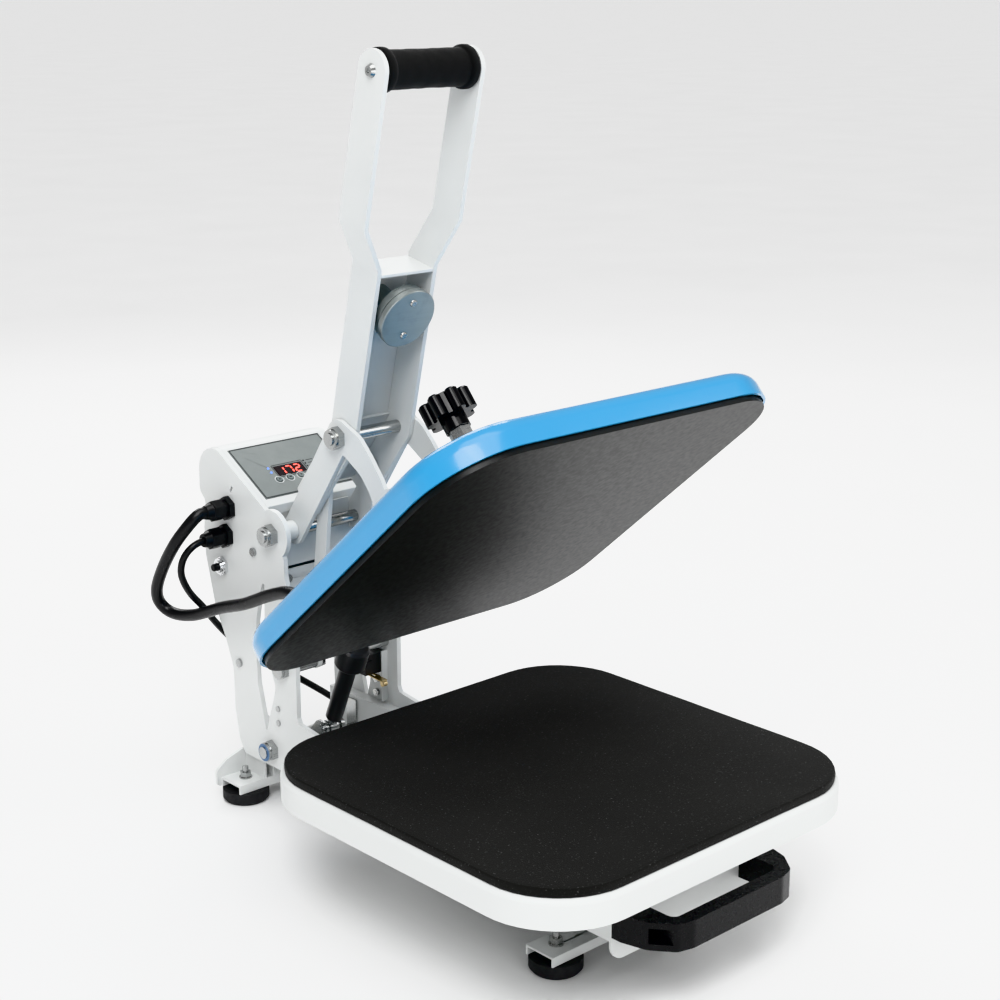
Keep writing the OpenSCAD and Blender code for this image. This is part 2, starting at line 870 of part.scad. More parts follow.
module lever_shaft() {
  color(zinc) place() {
    rod_x(lever_pivot, 6, -51, 51);
    mirrored() lock_nut(lever_pivot, 19, arm_out, arm_out + 10);
  }
}

terminal = [-95, 142, 45];

module platen_gland() {
  color(black) place() in_platen() {
    difference() {
      union() {
        box(terminal[0] - 17, terminal[0] + 17, 112, terminal[1], cover_height, 58);
        translate(terminal) rotate([-90, 0, 0]) cylinder(d = 21 / cos(30), h = 5, $fn = 6);
        translate(terminal) rotate([-90, 0, 0]) cylinder(r = 8, h = 14, $fn = 48);
        translate(terminal + [0, 7, 0]) rotate([-90, 0, 0]) cylinder(d = 18 / cos(30), h = 10, $fn = 6);
      }
      translate(terminal + [0, -12, 0]) rotate([-90, 0, 0]) cylinder(r = 6.1, h = 40, $fn = 48);
    }
  }
}

// Star knob: hub with lobes round it.
lobes = 7;
module star_knob() {
  color(black) place() in_platen()
    difference() {
      union() {
        translate([0, 0, 105.6]) cylinder(r = 12, h = 12, $fn = 48);
        translate([0, 0, 117.5]) cylinder(r = 18, h = 20, $fn = 64);
        for (i = [0:lobes - 1])
          rotate([0, 0, i * 360 / lobes]) {
            translate([18.5, 0, 117.5]) cylinder(r = 6.2, h = 19, $fn = 32);
            translate([18.5, 0, 136.4]) cylinder(r1 = 6.2, r2 = 4.6, h = 1.8, $fn = 32);
          }
        translate([0, 0, 137.4]) cylinder(r1 = 18, r2 = 15, h = 1.6, $fn = 64);
      }
      translate([0, 0, 100]) cylinder(r = 6.06, h = 32, $fn = 48);
    }
}

// ---- Lever ---------------------------------------------------------------------

tail_turn = 25;
jog_low = 165;
jog_high = 204;
grip_out = grip_span / 2;
bar_thick = bar_out - bar_in;

module lever_bar() {
  place() in_lever()
    difference() {
      union() {
        side(bar_in, bar_out)
          union() {
            circle(r = bar_width / 2, $fn = 64);
            translate([-bar_width / 2, 0]) square([bar_width, jog_low]);
            rotate(tail_turn)
              polygon(outline([[-17, 4, 0], [17, 4, 0], [17, -94.5, 3], [-17, -94.5, 3]]));
          }
        translate([0, bar_width / 2, 0]) rotate([90, 0, 0]) linear_extrude(bar_width)
          polygon([
            [bar_in, jog_low - 2.2], [bar_in, jog_low + 0.9], [grip_out - bar_thick, jog_high + 0.9],
            [grip_out - bar_thick, jog_high + 3], [grip_out, jog_high + 3], [grip_out, jog_high],
            [bar_out, jog_low], [bar_out, jog_low - 2.2]
          ]);
        side(grip_out - bar_thick, grip_out) {
          translate([-bar_width / 2, jog_high + 2.9])
            square([bar_width, lever_length - jog_high - 2.9]);
          translate([0, lever_length]) circle(r = bar_width / 2, $fn = 64);
        }
      }
      rod_x([0, 0], 6.06, 20, 45);
      rod_x([0, lever_length], 3.05, 45, 60, 32);
    }
}

module lever_bar_left() {
  color(white) mirror([1, 0, 0]) lever_bar();
}

module lever_bar_right() {
  color(white) lever_bar();
}

module lever_web() {
  color(white) place() in_lever()
    difference() {
      side(-29.95, 29.95) {
        polygon([
          [15, -4], [18, -4], [18, jog_low - 3], [-18, jog_low - 3], [-18, jog_low - 6],
          [15, jog_low - 6]
        ]);
        rotate(tail_turn) translate([14, -90]) square([3, 92]);
      }
      box(-26, 26, 12, 20, 150, 151.6);
    }
}

module grip_rod() {
  color(zinc) place() in_lever()
    difference() {
      rod_x([0, lever_length], 8, -grip_out + bar_thick, grip_out - bar_thick);
      for (x = [-60, 40]) rod_x([0, lever_length], 3.05, x, x + 20, 32);
    }
}

module foam_grip() {
  color(black) place() in_lever()
    translate([0, 0, lever_length]) rotate([0, 90, 0])
      rotate_extrude($fn = 64)
        polygon([
          [8.05, -51], [18.5, -51], [19.2, -49], [19, -43], [17, -36], [grip_diameter / 2 - 0.5, -20],
          [grip_diameter / 2 - 0.5, 20], [17, 36], [19, 43], [19.2, 49], [18.5, 51], [8.05, 51]
        ]);
}

magnet_at = [-27.8, 120.8];
magnet_turn = -78.2;

module at_magnet() {
  in_lever() translate([0, magnet_at[0], magnet_at[1]]) rotate([magnet_turn, 0, 0]) children();
}

module magnet_body() {
  color([0.12, 0.14, 0.14]) place()
    difference() {
      at_magnet() {
        cylinder(r1 = 28.6, r2 = 29.3, h = 0.8, $fn = 96);
        translate([0, 0, 0.79]) cylinder(r = 29.3, h = 4.8, $fn = 96);
        translate([0, 0, 5.5]) cylinder(r = 26, h = 2, $fn = 96);
        translate([0, 0, 7.4]) cylinder(r = 28, h = 7, $fn = 96);
        translate([0, 0, 14.3]) cylinder(r = 9, h = 34, $fn = 48);
      }
      in_lever() box(-29.9, 29.9, 14.98, 60, 0, 200);
      at_magnet() for (y = [-17, 17]) translate([0, y, -1]) cylinder(r = 2.05, h = 12, $fn = 24);
    }
}

module lever_screws() {
  color(zinc) place() {
    in_lever() mirrored() {
      rod_x([0, lever_length], 3, 42, grip_out + 0.1, 32);
      translate([grip_out, 0, lever_length]) rotate([0, 90, 0])
        difference() {
          cylinder(r1 = 6, r2 = 4.4, h = 3.4, $fn = 40);
          translate([0, 0, 1.6]) cylinder(d = 4 / cos(30), h = 3, $fn = 6);
        }
    }
    at_magnet() for (y = [-17, 17]) translate([0, y, -1.6]) {
      cylinder(r1 = 2.6, r2 = 3.6, h = 1.6, $fn = 32);
      cylinder(r = 2, h = 11, $fn = 24);
    }
  }
}

// ---- Cables --------------------------------------------------------------------

// Point on a smooth curve through the listed points (Catmull-Rom).
function curve_at(p, i, t) =
  let (
    n = len(p),
    a = p[max(i - 1, 0)],
    b = p[i],
    c = p[i + 1],
    d = p[min(i + 2, n - 1)]
  )
  0.5 * (2 * b + (c - a) * t + (2 * a - 5 * b + 4 * c - d) * t * t
    + (3 * b - a - 3 * c + d) * t * t * t);

function curve(p, k) = concat(
  [for (i = [0:len(p) - 2]) for (j = [0:k - 1]) curve_at(p, i, j / k)],
  [p[len(p) - 1]]
);

function heading(c, i) = unit(c[min(i + 1, len(c) - 1)] - c[max(i - 1, 0)]);

// Carries the first ring's side vector along the curve without twist.
function carry(c, i, v) =
  let (h = heading(c, i)) unit(v - h * (v * h));

function sides(c, i = 0, v = [0, 0.3, 1], out = []) =
  i == len(c) ? out :
  let (w = carry(c, i, v)) sides(c, i + 1, w, concat(out, [w]));

// Closed tube of radius r along the curve c.
module tube(c, r, m = 10) {
  s = sides(c);
  n = len(c);
  rings = [
    for (i = [0:n - 1])
      let (h = heading(c, i), u = s[i], w = cross(h, u))
        for (k = [0:m - 1]) c[i] + r * (cos(360 * k / m) * u + sin(360 * k / m) * w)
  ];
  skin = [
    for (i = [0:n - 2]) for (k = [0:m - 1])
      for (f = [
        [i * m + k, (i + 1) * m + (k + 1) % m, i * m + (k + 1) % m],
        [i * m + k, (i + 1) * m + k, (i + 1) * m + (k + 1) % m]
      ]) f
  ];
  polyhedron(
    points = rings,
    faces = concat([[for (k = [0:m - 1]) k]], skin, [[for (k = [m - 1:-1:0]) (n - 1) * m + k]])
  );
}

cord_radius = 3.5;
coil_centre = [215, 330];
coil_middle = 40;

power_route = [
  [-70, 395, 266], [-92, 395, 266], [-105, 397, 261], [-112, 402, 249], [-112, 406, 233],
  [-102, 409, 213], [-85, 412, 193], [-69, 416, 173], [-50, 418, 151], [-28, 419, 130],
  [0, 419, 110], [29, 418, 89], [58, 415, 67], [86, 410, 44], [112, 400, 22],
  [136, 388, 7], [158, 377, 3.7], [180, 372, 3.7], [204.8, 375.9, 3.7]
];

heater_route = [
  [-70, 390, 295], [-88, 390, 295], [-94, 390, 295], [-100, 390.8, 293.8], [-108, 396, 284],
  [-115, 411, 263], [-116, 432, 235],
  [-114, 448, 209], [-108, 452, 192], [-101, 440, 183], [-96, 412, 187], [-92, 370, 204],
  [-92, 330, 218], [-93, 290, 236], [-94, 258, 247], [-95, 234, 246], [-95, 214, 253],
  [-95, 193.5, 270.5]
];

module power_cord() {
  color(black) place() tube(curve(power_route, 5), cord_radius, 10);
}

module heater_cable() {
  color(black) place() tube(curve(heater_route, 5), 6, 10);
}

// Coiled spare cord lying on the floor, as one closed outer shape.
module cord_coil() {
  color(black) place()
    translate([coil_centre[0], coil_centre[1], 0])
      rotate_extrude($fn = 64)
        polygon(outline([
          [coil_middle - 10.6, 0.2, 3], [coil_middle + 10.6, 0.2, 3],
          [coil_middle + 10.6, 14.3, 3], [coil_middle - 10.6, 14.3, 3]
        ]));
}

module mains_plug() {
  color(black) place()
    translate([coil_centre[0] - 40, coil_centre[1] - coil_middle, 0]) {
      linear_extrude(26)
        polygon(outline([[-38, -16, 5], [-4, -16, 5], [1, -8, 3], [1, 8, 3], [-4, 16, 5], [-38, 16, 5]]));
      translate([0, 0, 9.5]) rotate([0, 90, 0]) cylinder(r1 = 7.5, r2 = 4.6, h = 24, $fn = 40);
      for (y = [-9, 9]) translate([-57, y, 13]) rotate([0, 90, 0]) cylinder(r = 2.4, h = 20.1, $fn = 24);
    }
}

side_plate_left();
side_plate_right();
front_channel();
rear_channel();
base_rails();
slide_rails();
feet();
foot_bolts();
tower_bolts();
main_shaft();
shaft_spacers();
link_studs();
control_shell();
panel_overlay();
display_window();
display_digits();
status_leds();
tower_cover();
small_screws();
cable_glands();
breaker_body();
limit_switch();
switch_bracket();
spring_anchor();
power_cord();
cord_coil();
mains_plug();
button_one();
button_two();
button_three();
button_four();
reset_button();
switch_lever();
print_tray();
foam_pad();
drawer_frame();
drawer_runners();
pull_handle();
handle_screws();
arm_plate_left();
arm_plate_right();
arm_bridge();
platen_cover();
heat_plate();
pressure_stud();
lever_shaft();
platen_gland();
heater_cable();
star_knob();
lever_bar_left();
lever_bar_right();
lever_web();
grip_rod();
foam_grip();
lever_screws();
magnet_body();
links();
gas_tube();
gas_tube_end();
gas_rod();
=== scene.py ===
import math

import bmesh
import bpy
from mathutils import Matrix, Vector, noise


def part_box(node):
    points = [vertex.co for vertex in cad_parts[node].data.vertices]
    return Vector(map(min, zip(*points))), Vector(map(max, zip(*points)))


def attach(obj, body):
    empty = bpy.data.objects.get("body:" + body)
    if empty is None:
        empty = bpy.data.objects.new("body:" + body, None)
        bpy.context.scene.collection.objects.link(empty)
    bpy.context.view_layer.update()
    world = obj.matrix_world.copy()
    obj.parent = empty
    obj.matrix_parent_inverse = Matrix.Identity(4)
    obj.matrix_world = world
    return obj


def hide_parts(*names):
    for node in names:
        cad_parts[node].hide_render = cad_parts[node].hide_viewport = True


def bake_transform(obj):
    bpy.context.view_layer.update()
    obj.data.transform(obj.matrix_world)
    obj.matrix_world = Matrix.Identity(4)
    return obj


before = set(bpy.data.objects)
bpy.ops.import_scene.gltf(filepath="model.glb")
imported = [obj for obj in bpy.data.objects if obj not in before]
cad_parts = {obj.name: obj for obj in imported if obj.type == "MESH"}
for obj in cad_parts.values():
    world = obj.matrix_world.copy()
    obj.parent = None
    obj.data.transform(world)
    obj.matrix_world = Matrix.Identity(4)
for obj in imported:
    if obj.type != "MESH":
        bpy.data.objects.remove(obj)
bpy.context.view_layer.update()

# The pad's centre is the drawing's y = 0, so its box gives the drawing's shift.
PAD_LO, PAD_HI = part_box("foam_pad")
SHIFT = (PAD_LO.y + PAD_HI.y) / 2


def at(x, y, z):
    """A drawing point in millimetres as a scene point in metres."""
    return Vector((x / 1000, y / 1000 + SHIFT, z / 1000))


def local(x, y, z, degrees):
    """A frame whose origin is a drawing point, turned about X."""
    return Matrix.Translation(at(x, y, z)) @ Matrix.Rotation(math.radians(degrees), 4, "X")


PLATEN = local(0, 58, 328, -41)
LEVER = local(0, 248.5, 385.5, 13.25)
PANEL = local(0, 331, 305, 30.3)


# ---- Camera ----------------------------------------------------------------------

cam_data = bpy.data.cameras.new("camera")
cam_data.lens = 67.93
cam_data.sensor_width = 36
cam = bpy.data.objects.new("camera", cam_data)
bpy.context.scene.collection.objects.link(cam)
cam.location = at(-1067.3, -1076.3, 791.4)
cam.rotation_euler = (math.radians(74.45), 0, math.radians(-42.85))
bpy.context.scene.camera = cam


# ---- Mesh helpers ----------------------------------------------------------------

def new_object(name, bm, smooth=True):
    mesh = bpy.data.meshes.new(name)
    bm.normal_update()
    bm.to_mesh(mesh)
    bm.free()
    ob = bpy.data.objects.new(name, mesh)
    bpy.context.scene.collection.objects.link(ob)
    for p in mesh.polygons:
        p.use_smooth = smooth
    return ob


def catmull(points, k):
    """Points on a smooth curve through the given ones."""
    out = []
    n = len(points)
    for i in range(n - 1):
        a, b = points[max(i - 1, 0)], points[i]
        c, d = points[i + 1], points[min(i + 2, n - 1)]
        for j in range(k):
            t = j / k
            out.append(0.5 * (2 * b + (c - a) * t + (2 * a - 5 * b + 4 * c - d) * t * t
                              + (3 * b - a - 3 * c + d) * t ** 3))
    out.append(points[-1])
    return out


def respace(points, step):
    """The same line with points a steady distance apart."""
    out = [points[0]]
    left = step
    for a, b in zip(points, points[1:]):
        d = (b - a).length
        while d > 1e-9 and left <= d:
            a = a + (b - a) * (left / d)
            d = (b - a).length
            out.append(a)
            left = step
        left -= d
    if (out[-1] - points[-1]).length > step * 0.3:
        out.append(points[-1])
    else:
        out[-1] = points[-1]
    return out


def tube(name, line, radius, sides=18):
    bm = bmesh.new()
    rings = []
    side = Vector((0, 0.3, 1))
    for i, p in enumerate(line):
        h = (line[min(i + 1, len(line) - 1)] - line[max(i - 1, 0)]).normalized()
        side = (side - h * side.dot(h)).normalized()
        other = h.cross(side)
        r = radius(i) if callable(radius) else radius
        rings.append([bm.verts.new(p + r * (math.cos(a) * side + math.sin(a) * other))
                      for a in (2 * math.pi * k / sides for k in range(sides))])
    for a, b in zip(rings, rings[1:]):
        for k in range(sides):
            bm.faces.new((a[k], a[(k + 1) % sides], b[(k + 1) % sides], b[k]))
    bm.faces.new(list(reversed(rings[0])))
    bm.faces.new(rings[-1])
    return new_object(name, bm)


def lathe(name, profile, matrix, sides=72, wobble=0.0, seed=0.0):
    """Turns (along, radius) pairs in millimetres about the matrix's X axis."""
    bm = bmesh.new()
    rings = []
    for x, r in profile:
        ring = []
        for k in range(sides):
            a = 2 * math.pi * k / sides
            v = Vector((x, r * math.cos(a), r * math.sin(a)))
            if wobble:
                v += v.normalized() * wobble * (noise.noise(v * 0.12 + Vector((seed, 0, 0))) - 0.6)
            ring.append(bm.verts.new(matrix @ (v / 1000)))
        rings.append(ring)
    for a, b in zip(rings, rings[1:]):
        for k in range(sides):
            bm.faces.new((a[k], b[k], b[(k + 1) % sides], a[(k + 1) % sides]))
    return new_object(name, bm)


def round_square(half, r, corner=10, straight=10):
    """Points of a square with round corners, the same number whatever its size."""
    r = max(r, 0.5)
    out = []
    for q in range(4):
        a0 = math.radians(90 * q)
        c = Matrix.Rotation(a0, 2) @ Vector((half - r, half - r))
        n = Matrix.Rotation(a0 + math.pi / 2, 2) @ Vector((half - r, half - r))
        for i in range(corner + 1):
            a = a0 + math.pi / 2 * i / corner
            out.append(c + r * Vector((math.cos(a), math.sin(a))))
        tip = Vector((math.cos(a0 + math.pi / 2), math.sin(a0 + math.pi / 2))) * r
        for i in range(1, straight):
            out.append((c + tip).lerp(n + tip, i / straight))
    return out


def slab(name, profile, half, r, matrix, wobble=0.0):
    """A slab built from (inset, height) rows in millimetres, closed at both ends."""
    bm = bmesh.new()
    rings = []
    for inset, z in profile:
        ring = []
        for p in round_square(half - inset, r - inset * 0.85):
            v = Vector((p.x, p.y, z))
            if wobble:
                if inset < 12:
                    push = wobble * (noise.noise(Vector((v.x, v.y, z * 4)) * 0.03) - 0.5)
                    v.xy += v.xy.normalized() * push
                if inset >= 4:
                    v.z += wobble * 0.6 * (noise.noise(v * 0.02) - 0.5)
            ring.append(bm.verts.new(matrix @ (v / 1000)))
        rings.append(ring)
    n = len(rings[0])
    for a, b in zip(rings, rings[1:]):
        for k in range(n):
            bm.faces.new((a[k], a[(k + 1) % n], b[(k + 1) % n], b[k]))
    bm.faces.new(list(reversed(rings[0])))
    bm.faces.new(rings[-1])
    return new_object(name, bm)


# ---- Cords -----------------------------------------------------------------------

CORD_R = 3.5
POWER_ROUTE = [
    (-70, 395, 266), (-92, 395, 266), (-105, 397, 261), (-112, 402, 249), (-112, 406, 233),
    (-102, 409, 213), (-85, 412, 193), (-69, 416, 173), (-50, 418, 151), (-28, 419, 130),
    (0, 419, 110), (29, 418, 89), (58, 415, 67), (86, 410, 44), (112, 400, 22),
    (136, 388, 7), (158, 377, 3.7), (180, 372, 3.7), (204.8, 375.9, 3.7),
]
COIL_X, COIL_Y = 215, 330
COIL_START = 102.5    # degrees round the coil where the cord joins it
OUTER_R, INNER_R = 47, 32.9
PITCH = 7.05          # from one turn to the next, a little over the cord's own width
LOW_Z, HIGH_Z = 3.7, 10.75


def coil_point(t):
    """A point t turns into the coil: inwards on the floor, then outwards on top."""
    a = math.radians(COIL_START - 360 * t)
    if t < 2:
        r, z = OUTER_R - PITCH * t, LOW_Z
    elif t < 2.25:
        s = (t - 2) / 0.25
        r, z = INNER_R, LOW_Z + PITCH * s * s * (3 - 2 * s)
    else:
        r, z = INNER_R + PITCH * (t - 2.25), HIGH_Z
    return at(COIL_X + r * math.cos(a), COIL_Y + r * math.sin(a), z)


line = catmull([at(*p) for p in POWER_ROUTE], 8)
turns = (COIL_START + 90 + 3 * 360) / 360
line += [coil_point(turns * i / 170) for i in range(1, 171)]
# The end leaves the coil for the plug that lies beside it.
line += catmull([line[-1], at(205, 288.6, 10.3), at(196, 290, 9.7), at(184, 290, 9.5)], 4)[1:]
line = respace(line, 0.004)
power = tube("power_cord_run", line, CORD_R / 1000)
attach(power, "base")
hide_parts("power_cord", "cord_coil")

# A strap round one side of the coil, clear of the floor.
COIL_MIDDLE = 40
TIE_WIDE, TIE_TALL, TIE_Z = 11.4, 6.85, 7.9
tie = []
for i in range(25):
    a = 2 * math.pi * i / 24
    x, z = COIL_X + COIL_MIDDLE + TIE_WIDE * math.cos(a), TIE_Z + TIE_TALL * math.sin(a)
    tie.append(at(x, COIL_Y, z))
strap = tube("coil_tie", tie, 0.0009, 8)
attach(strap, "base")

HEATER_ROUTE = [
    (-70, 390, 295), (-88, 390, 295), (-94, 390, 295), (-100, 390.8, 293.8), (-108, 396, 284),
    (-115, 411, 263), (-116, 432, 235),
    (-114, 448, 209), (-108, 452, 192), (-101, 440, 183), (-96, 412, 187), (-92, 370, 204),
    (-92, 330, 218), (-93, 290, 236), (-94, 258, 247), (-95, 234, 246), (-95, 214, 253),
    (-95, 193.5, 270.5),
]
HEATER_R = 0.006
heater_line = respace(catmull([at(*p) for p in HEATER_ROUTE], 8), 0.004)
heater = tube("heater_cable_run", heater_line, HEATER_R, 20)
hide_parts("heater_cable")
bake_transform(heater)


# ---- Materials -------------------------------------------------------------------

class Nodes:
    """A short way to build one material's node tree."""

    def __init__(self, name):
        self.mat = bpy.data.materials.new(name)
        self.mat.use_nodes = True
        self.tree = self.mat.node_tree
        self.tree.nodes.clear()
        self.out = self.add("ShaderNodeOutputMaterial")
        self.bsdf = self.add("ShaderNodeBsdfPrincipled")
        self.link(self.bsdf, "BSDF", self.out, "Surface")
        self.coord = self.add("ShaderNodeTexCoord")

    def add(self, kind, **sockets):
        n = self.tree.nodes.new(kind)
        for k, v in sockets.items():
            n.inputs[k.replace("_", " ")].default_value = v
        return n

    def link(self, a, out, b, inp):
        self.tree.links.new(a.outputs[out], b.inputs[inp])

    def place(self, stretch):
        m = self.add("ShaderNodeMapping")
        m.inputs["Scale"].default_value = stretch
        self.link(self.coord, "Object", m, "Vector")
        return m

    def noise(self, scale, detail=3.0, rough=0.55, source=None):
        n = self.add("ShaderNodeTexNoise", Scale=scale, Detail=detail, Roughness=rough)
        if source is None:
            self.link(self.coord, "Object", n, "Vector")
        else:
            self.link(source, "Vector", n, "Vector")
        return n

    def cells(self, scale, feature="F1"):
        n = self.add("ShaderNodeTexVoronoi", Scale=scale)
        n.feature = feature
        self.link(self.coord, "Object", n, "Vector")
        return n

    def ramp(self, source, out, stops):
        r = self.add("ShaderNodeValToRGB")
        self.link(source, out, r, "Fac")
        e = r.color_ramp.elements
        while len(e) < len(stops):
            e.new(0.5)
        for el, (p, c) in zip(e, stops):
            el.position = p
            el.color = c if len(c) == 4 else (*c, 1)
        return r

    def to_range(self, source, out, lo, hi, inp):
        m = self.add("ShaderNodeMapRange")
        m.inputs["From Min"].default_value = 0.3
        m.inputs["From Max"].default_value = 0.7
        m.inputs["To Min"].default_value = lo
        m.inputs["To Max"].default_value = hi
        self.link(source, out, m, "Value")
        self.link(m, "Result", self.bsdf, inp)
        return m

    def bump(self, parts):
        """parts: (node, output, strength, distance in metres)."""
        last = None
        for n, out, strength, distance in parts:
            b = self.add("ShaderNodeBump")
            b.inputs["Strength"].default_value = strength
            b.inputs["Distance"].default_value = distance
            self.link(n, out, b, "Height")
            if last:
                self.link(last, "Normal", b, "Normal")
            last = b
        self.link(last, "Normal", self.bsdf, "Normal")


def mix3(c, f):
    return tuple(min(1, x * f) for x in c)


def powder(name, color, rough=(0.36, 0.46), peel=900, depth=0.00012, coat=0.0):
    """Powder coat or paint: orange peel and a slight unevenness."""
    m = Nodes(name)
    broad = m.noise(7, 3)
    fine = m.noise(peel, 2, 0.5)
    mid = m.noise(120, 2, 0.5)
    stops = [(0.3, mix3(color, 0.965)), (0.5, color), (0.72, mix3(color, 1.02))]
    col = m.ramp(broad, "Fac", stops)
    m.link(col, "Color", m.bsdf, "Base Color")
    m.to_range(mid, "Fac", rough[0], rough[1], "Roughness")
    m.bsdf.inputs["Coat Weight"].default_value = coat
    m.bsdf.inputs["Coat Roughness"].default_value = 0.12
    m.bump([(mid, "Fac", 0.12, 0.0004), (fine, "Fac", 0.22, depth)])
    return m.mat


def metal(name, color, rough=(0.25, 0.42), streak=(1, 60, 60), warm=0.04, bump=0.1):
    """Plated or turned metal: fine streaks, cloudy passivation."""
    m = Nodes(name)
    m.bsdf.inputs["Metallic"].default_value = 1.0
    cloud = m.noise(60, 4, 0.6)
    lines = m.noise(25, 3, 0.6, m.place(streak))
    a = mix3(color, 0.86)
    b = tuple(min(1, x * (1 + warm * k)) for x, k in zip(color, (1, 0.2, -1)))
    col = m.ramp(cloud, "Fac", [(0.28, a), (0.5, color), (0.75, b)])
    m.link(col, "Color", m.bsdf, "Base Color")
    m.to_range(lines, "Fac", rough[0], rough[1], "Roughness")
    m.bump([(lines, "Fac", bump, 0.0002)])
    return m.mat


def plastic(name, color, rough=(0.38, 0.5), grain=1400, depth=0.0001, gloss=0.5):
    """Moulded plastic or rubber with a fine grain and a little dust."""
    m = Nodes(name)
    dust = m.noise(35, 4, 0.6)
    fine = m.noise(grain, 2, 0.5)
    mid = m.noise(220, 2, 0.5)
    light = tuple(min(1, x * 1.2 + 0.0015) for x in color)
    col = m.ramp(dust, "Fac", [(0.35, color), (0.62, mix3(color, 1.1)), (0.85, light)])
    m.link(col, "Color", m.bsdf, "Base Color")
    m.to_range(mid, "Fac", rough[0], rough[1], "Roughness")
    m.bsdf.inputs["Specular IOR Level"].default_value = gloss
    m.bump([(mid, "Fac", 0.03, 0.00004), (fine, "Fac", 0.06, depth * 0.5)])
    return m.mat


def sponge(name, color, cell, rough=0.92, depth=0.0005, fleck=0.06):
    """Foam: pores at two sizes and a few pale flecks."""
    m = Nodes(name)
    big = m.cells(cell)
    small = m.cells(cell * 2.6)
    speck = m.noise(cell * 0.6, 2, 0.7)
    tone = m.noise(9, 3, 0.6)
    base = m.ramp(tone, "Fac", [(0.3, mix3(color, 0.8)), (0.7, mix3(color, 1.25))])
    flecks = m.ramp(speck, "Fac", [(0.64, (0, 0, 0)), (0.76, (fleck, fleck, fleck))])
    mix = m.add("ShaderNodeMix")
    mix.data_type = "RGBA"
    mix.blend_type = "ADD"
    mix.inputs["Factor"].default_value = 1.0
    # Sockets 6, 7 and 2 are the mix node's colours A, B and its result.
    m.tree.links.new(base.outputs["Color"], mix.inputs[6])
    m.tree.links.new(flecks.outputs["Color"], mix.inputs[7])
    m.tree.links.new(mix.outputs[2], m.bsdf.inputs["Base Color"])
    m.bsdf.inputs["Roughness"].default_value = rough
    m.bsdf.inputs["Specular IOR Level"].default_value = 0.25
    m.bsdf.inputs["Sheen Weight"].default_value = 0.08
    m.bsdf.inputs["Sheen Roughness"].default_value = 0.6
    m.bump([(big, "Distance", 0.5, depth), (small, "Distance", 0.5, depth * 0.6)])
    return m.mat


def glow(name, color, strength):
    m = Nodes(name)
    n = m.noise(900, 1)
    col = m.ramp(n, "Fac", [(0.3, mix3(color, 0.85)), (0.7, color)])
    m.link(col, "Color", m.bsdf, "Base Color")
    m.link(col, "Color", m.bsdf, "Emission Color")
    m.bsdf.inputs["Emission Strength"].default_value = strength
    m.bsdf.inputs["Roughness"].default_value = 0.35
    return m.mat


WHITE = (0.68, 0.695, 0.69)
M = {
    "white": powder("powder_white", WHITE),
    "blue": powder("gloss_blue", (0.042, 0.30, 0.58), (0.16, 0.24), 500, 0.00002, 0.5),
    "black_paint": powder("satin_black", (0.012, 0.012, 0.013), (0.3, 0.42), 900, 0.00008),
    "zinc": metal("zinc_plate", (0.44, 0.45, 0.45), (0.16, 0.32)),
    "disc": metal("ground_disc", (0.36, 0.39, 0.385), (0.36, 0.5), (1, 30, 30), 0.02),
    "chrome": metal("chrome", (0.75, 0.76, 0.77), (0.08, 0.16), (1, 40, 40), 0.01, 0.03),
    "brass": metal("brass", (0.48, 0.38, 0.22), (0.24, 0.36)),
    "rubber": plastic("foot_rubber", (0.018, 0.018, 0.019), (0.6, 0.78), 900, 0.0002),
    "plastic": plastic("black_plastic", (0.008, 0.008, 0.0085), (0.28, 0.4), 1400, 0.00005, 0.4),
    "handle": plastic("handle_plastic", (0.004, 0.004, 0.0045), (0.22, 0.3), 400, 0.000004, 0.32),
    "knob": plastic("knob_plastic", (0.004, 0.004, 0.0045), (0.12, 0.2), 400, 0.000004, 0.28),
    "key": plastic("key_plastic", (0.17, 0.2, 0.2), (0.4, 0.5)),
    "overlay": plastic("overlay_film", (0.215, 0.235, 0.232), (0.3, 0.4), 1500, 0.00005),
    "overlay_line": plastic("overlay_line", (0.03, 0.035, 0.035), (0.3, 0.4), 1500, 0.00005),
    "print_white": plastic("print_white", (0.75, 0.78, 0.78), (0.35, 0.45), 1500, 0.00003),
    "window": plastic("display_window", (0.022, 0.016, 0.018), (0.08, 0.14), 600, 0.00002),
    "cord": plastic("cord_pvc", (0.008, 0.008, 0.0085), (0.26, 0.38), 700, 0.00012, 0.4),
    "tie": plastic("tie_pvc", (0.05, 0.05, 0.055), (0.35, 0.5)),
    "coating": plastic("platen_coating", (0.013, 0.0135, 0.013), (0.34, 0.42), 1600, 0.00003, 0.3),
    "pad": sponge("pad_sponge", (0.010, 0.010, 0.0095), 900, 0.95, 0.00022, 0.09),
    "grip": sponge("grip_foam", (0.006, 0.006, 0.006), 1100, 0.9, 0.0002, 0.015),
    "digits": glow("digits_red", (1.0, 0.1, 0.06), 3.0),
    "leds": glow("leds_blue", (0.12, 0.32, 1.0), 3.0),
    "led_off": plastic("led_off", (0.03, 0.035, 0.035), (0.15, 0.25), 900, 0.00002),
    "nylon": plastic("nut_nylon", (0.08, 0.16, 0.3), (0.35, 0.5)),
}

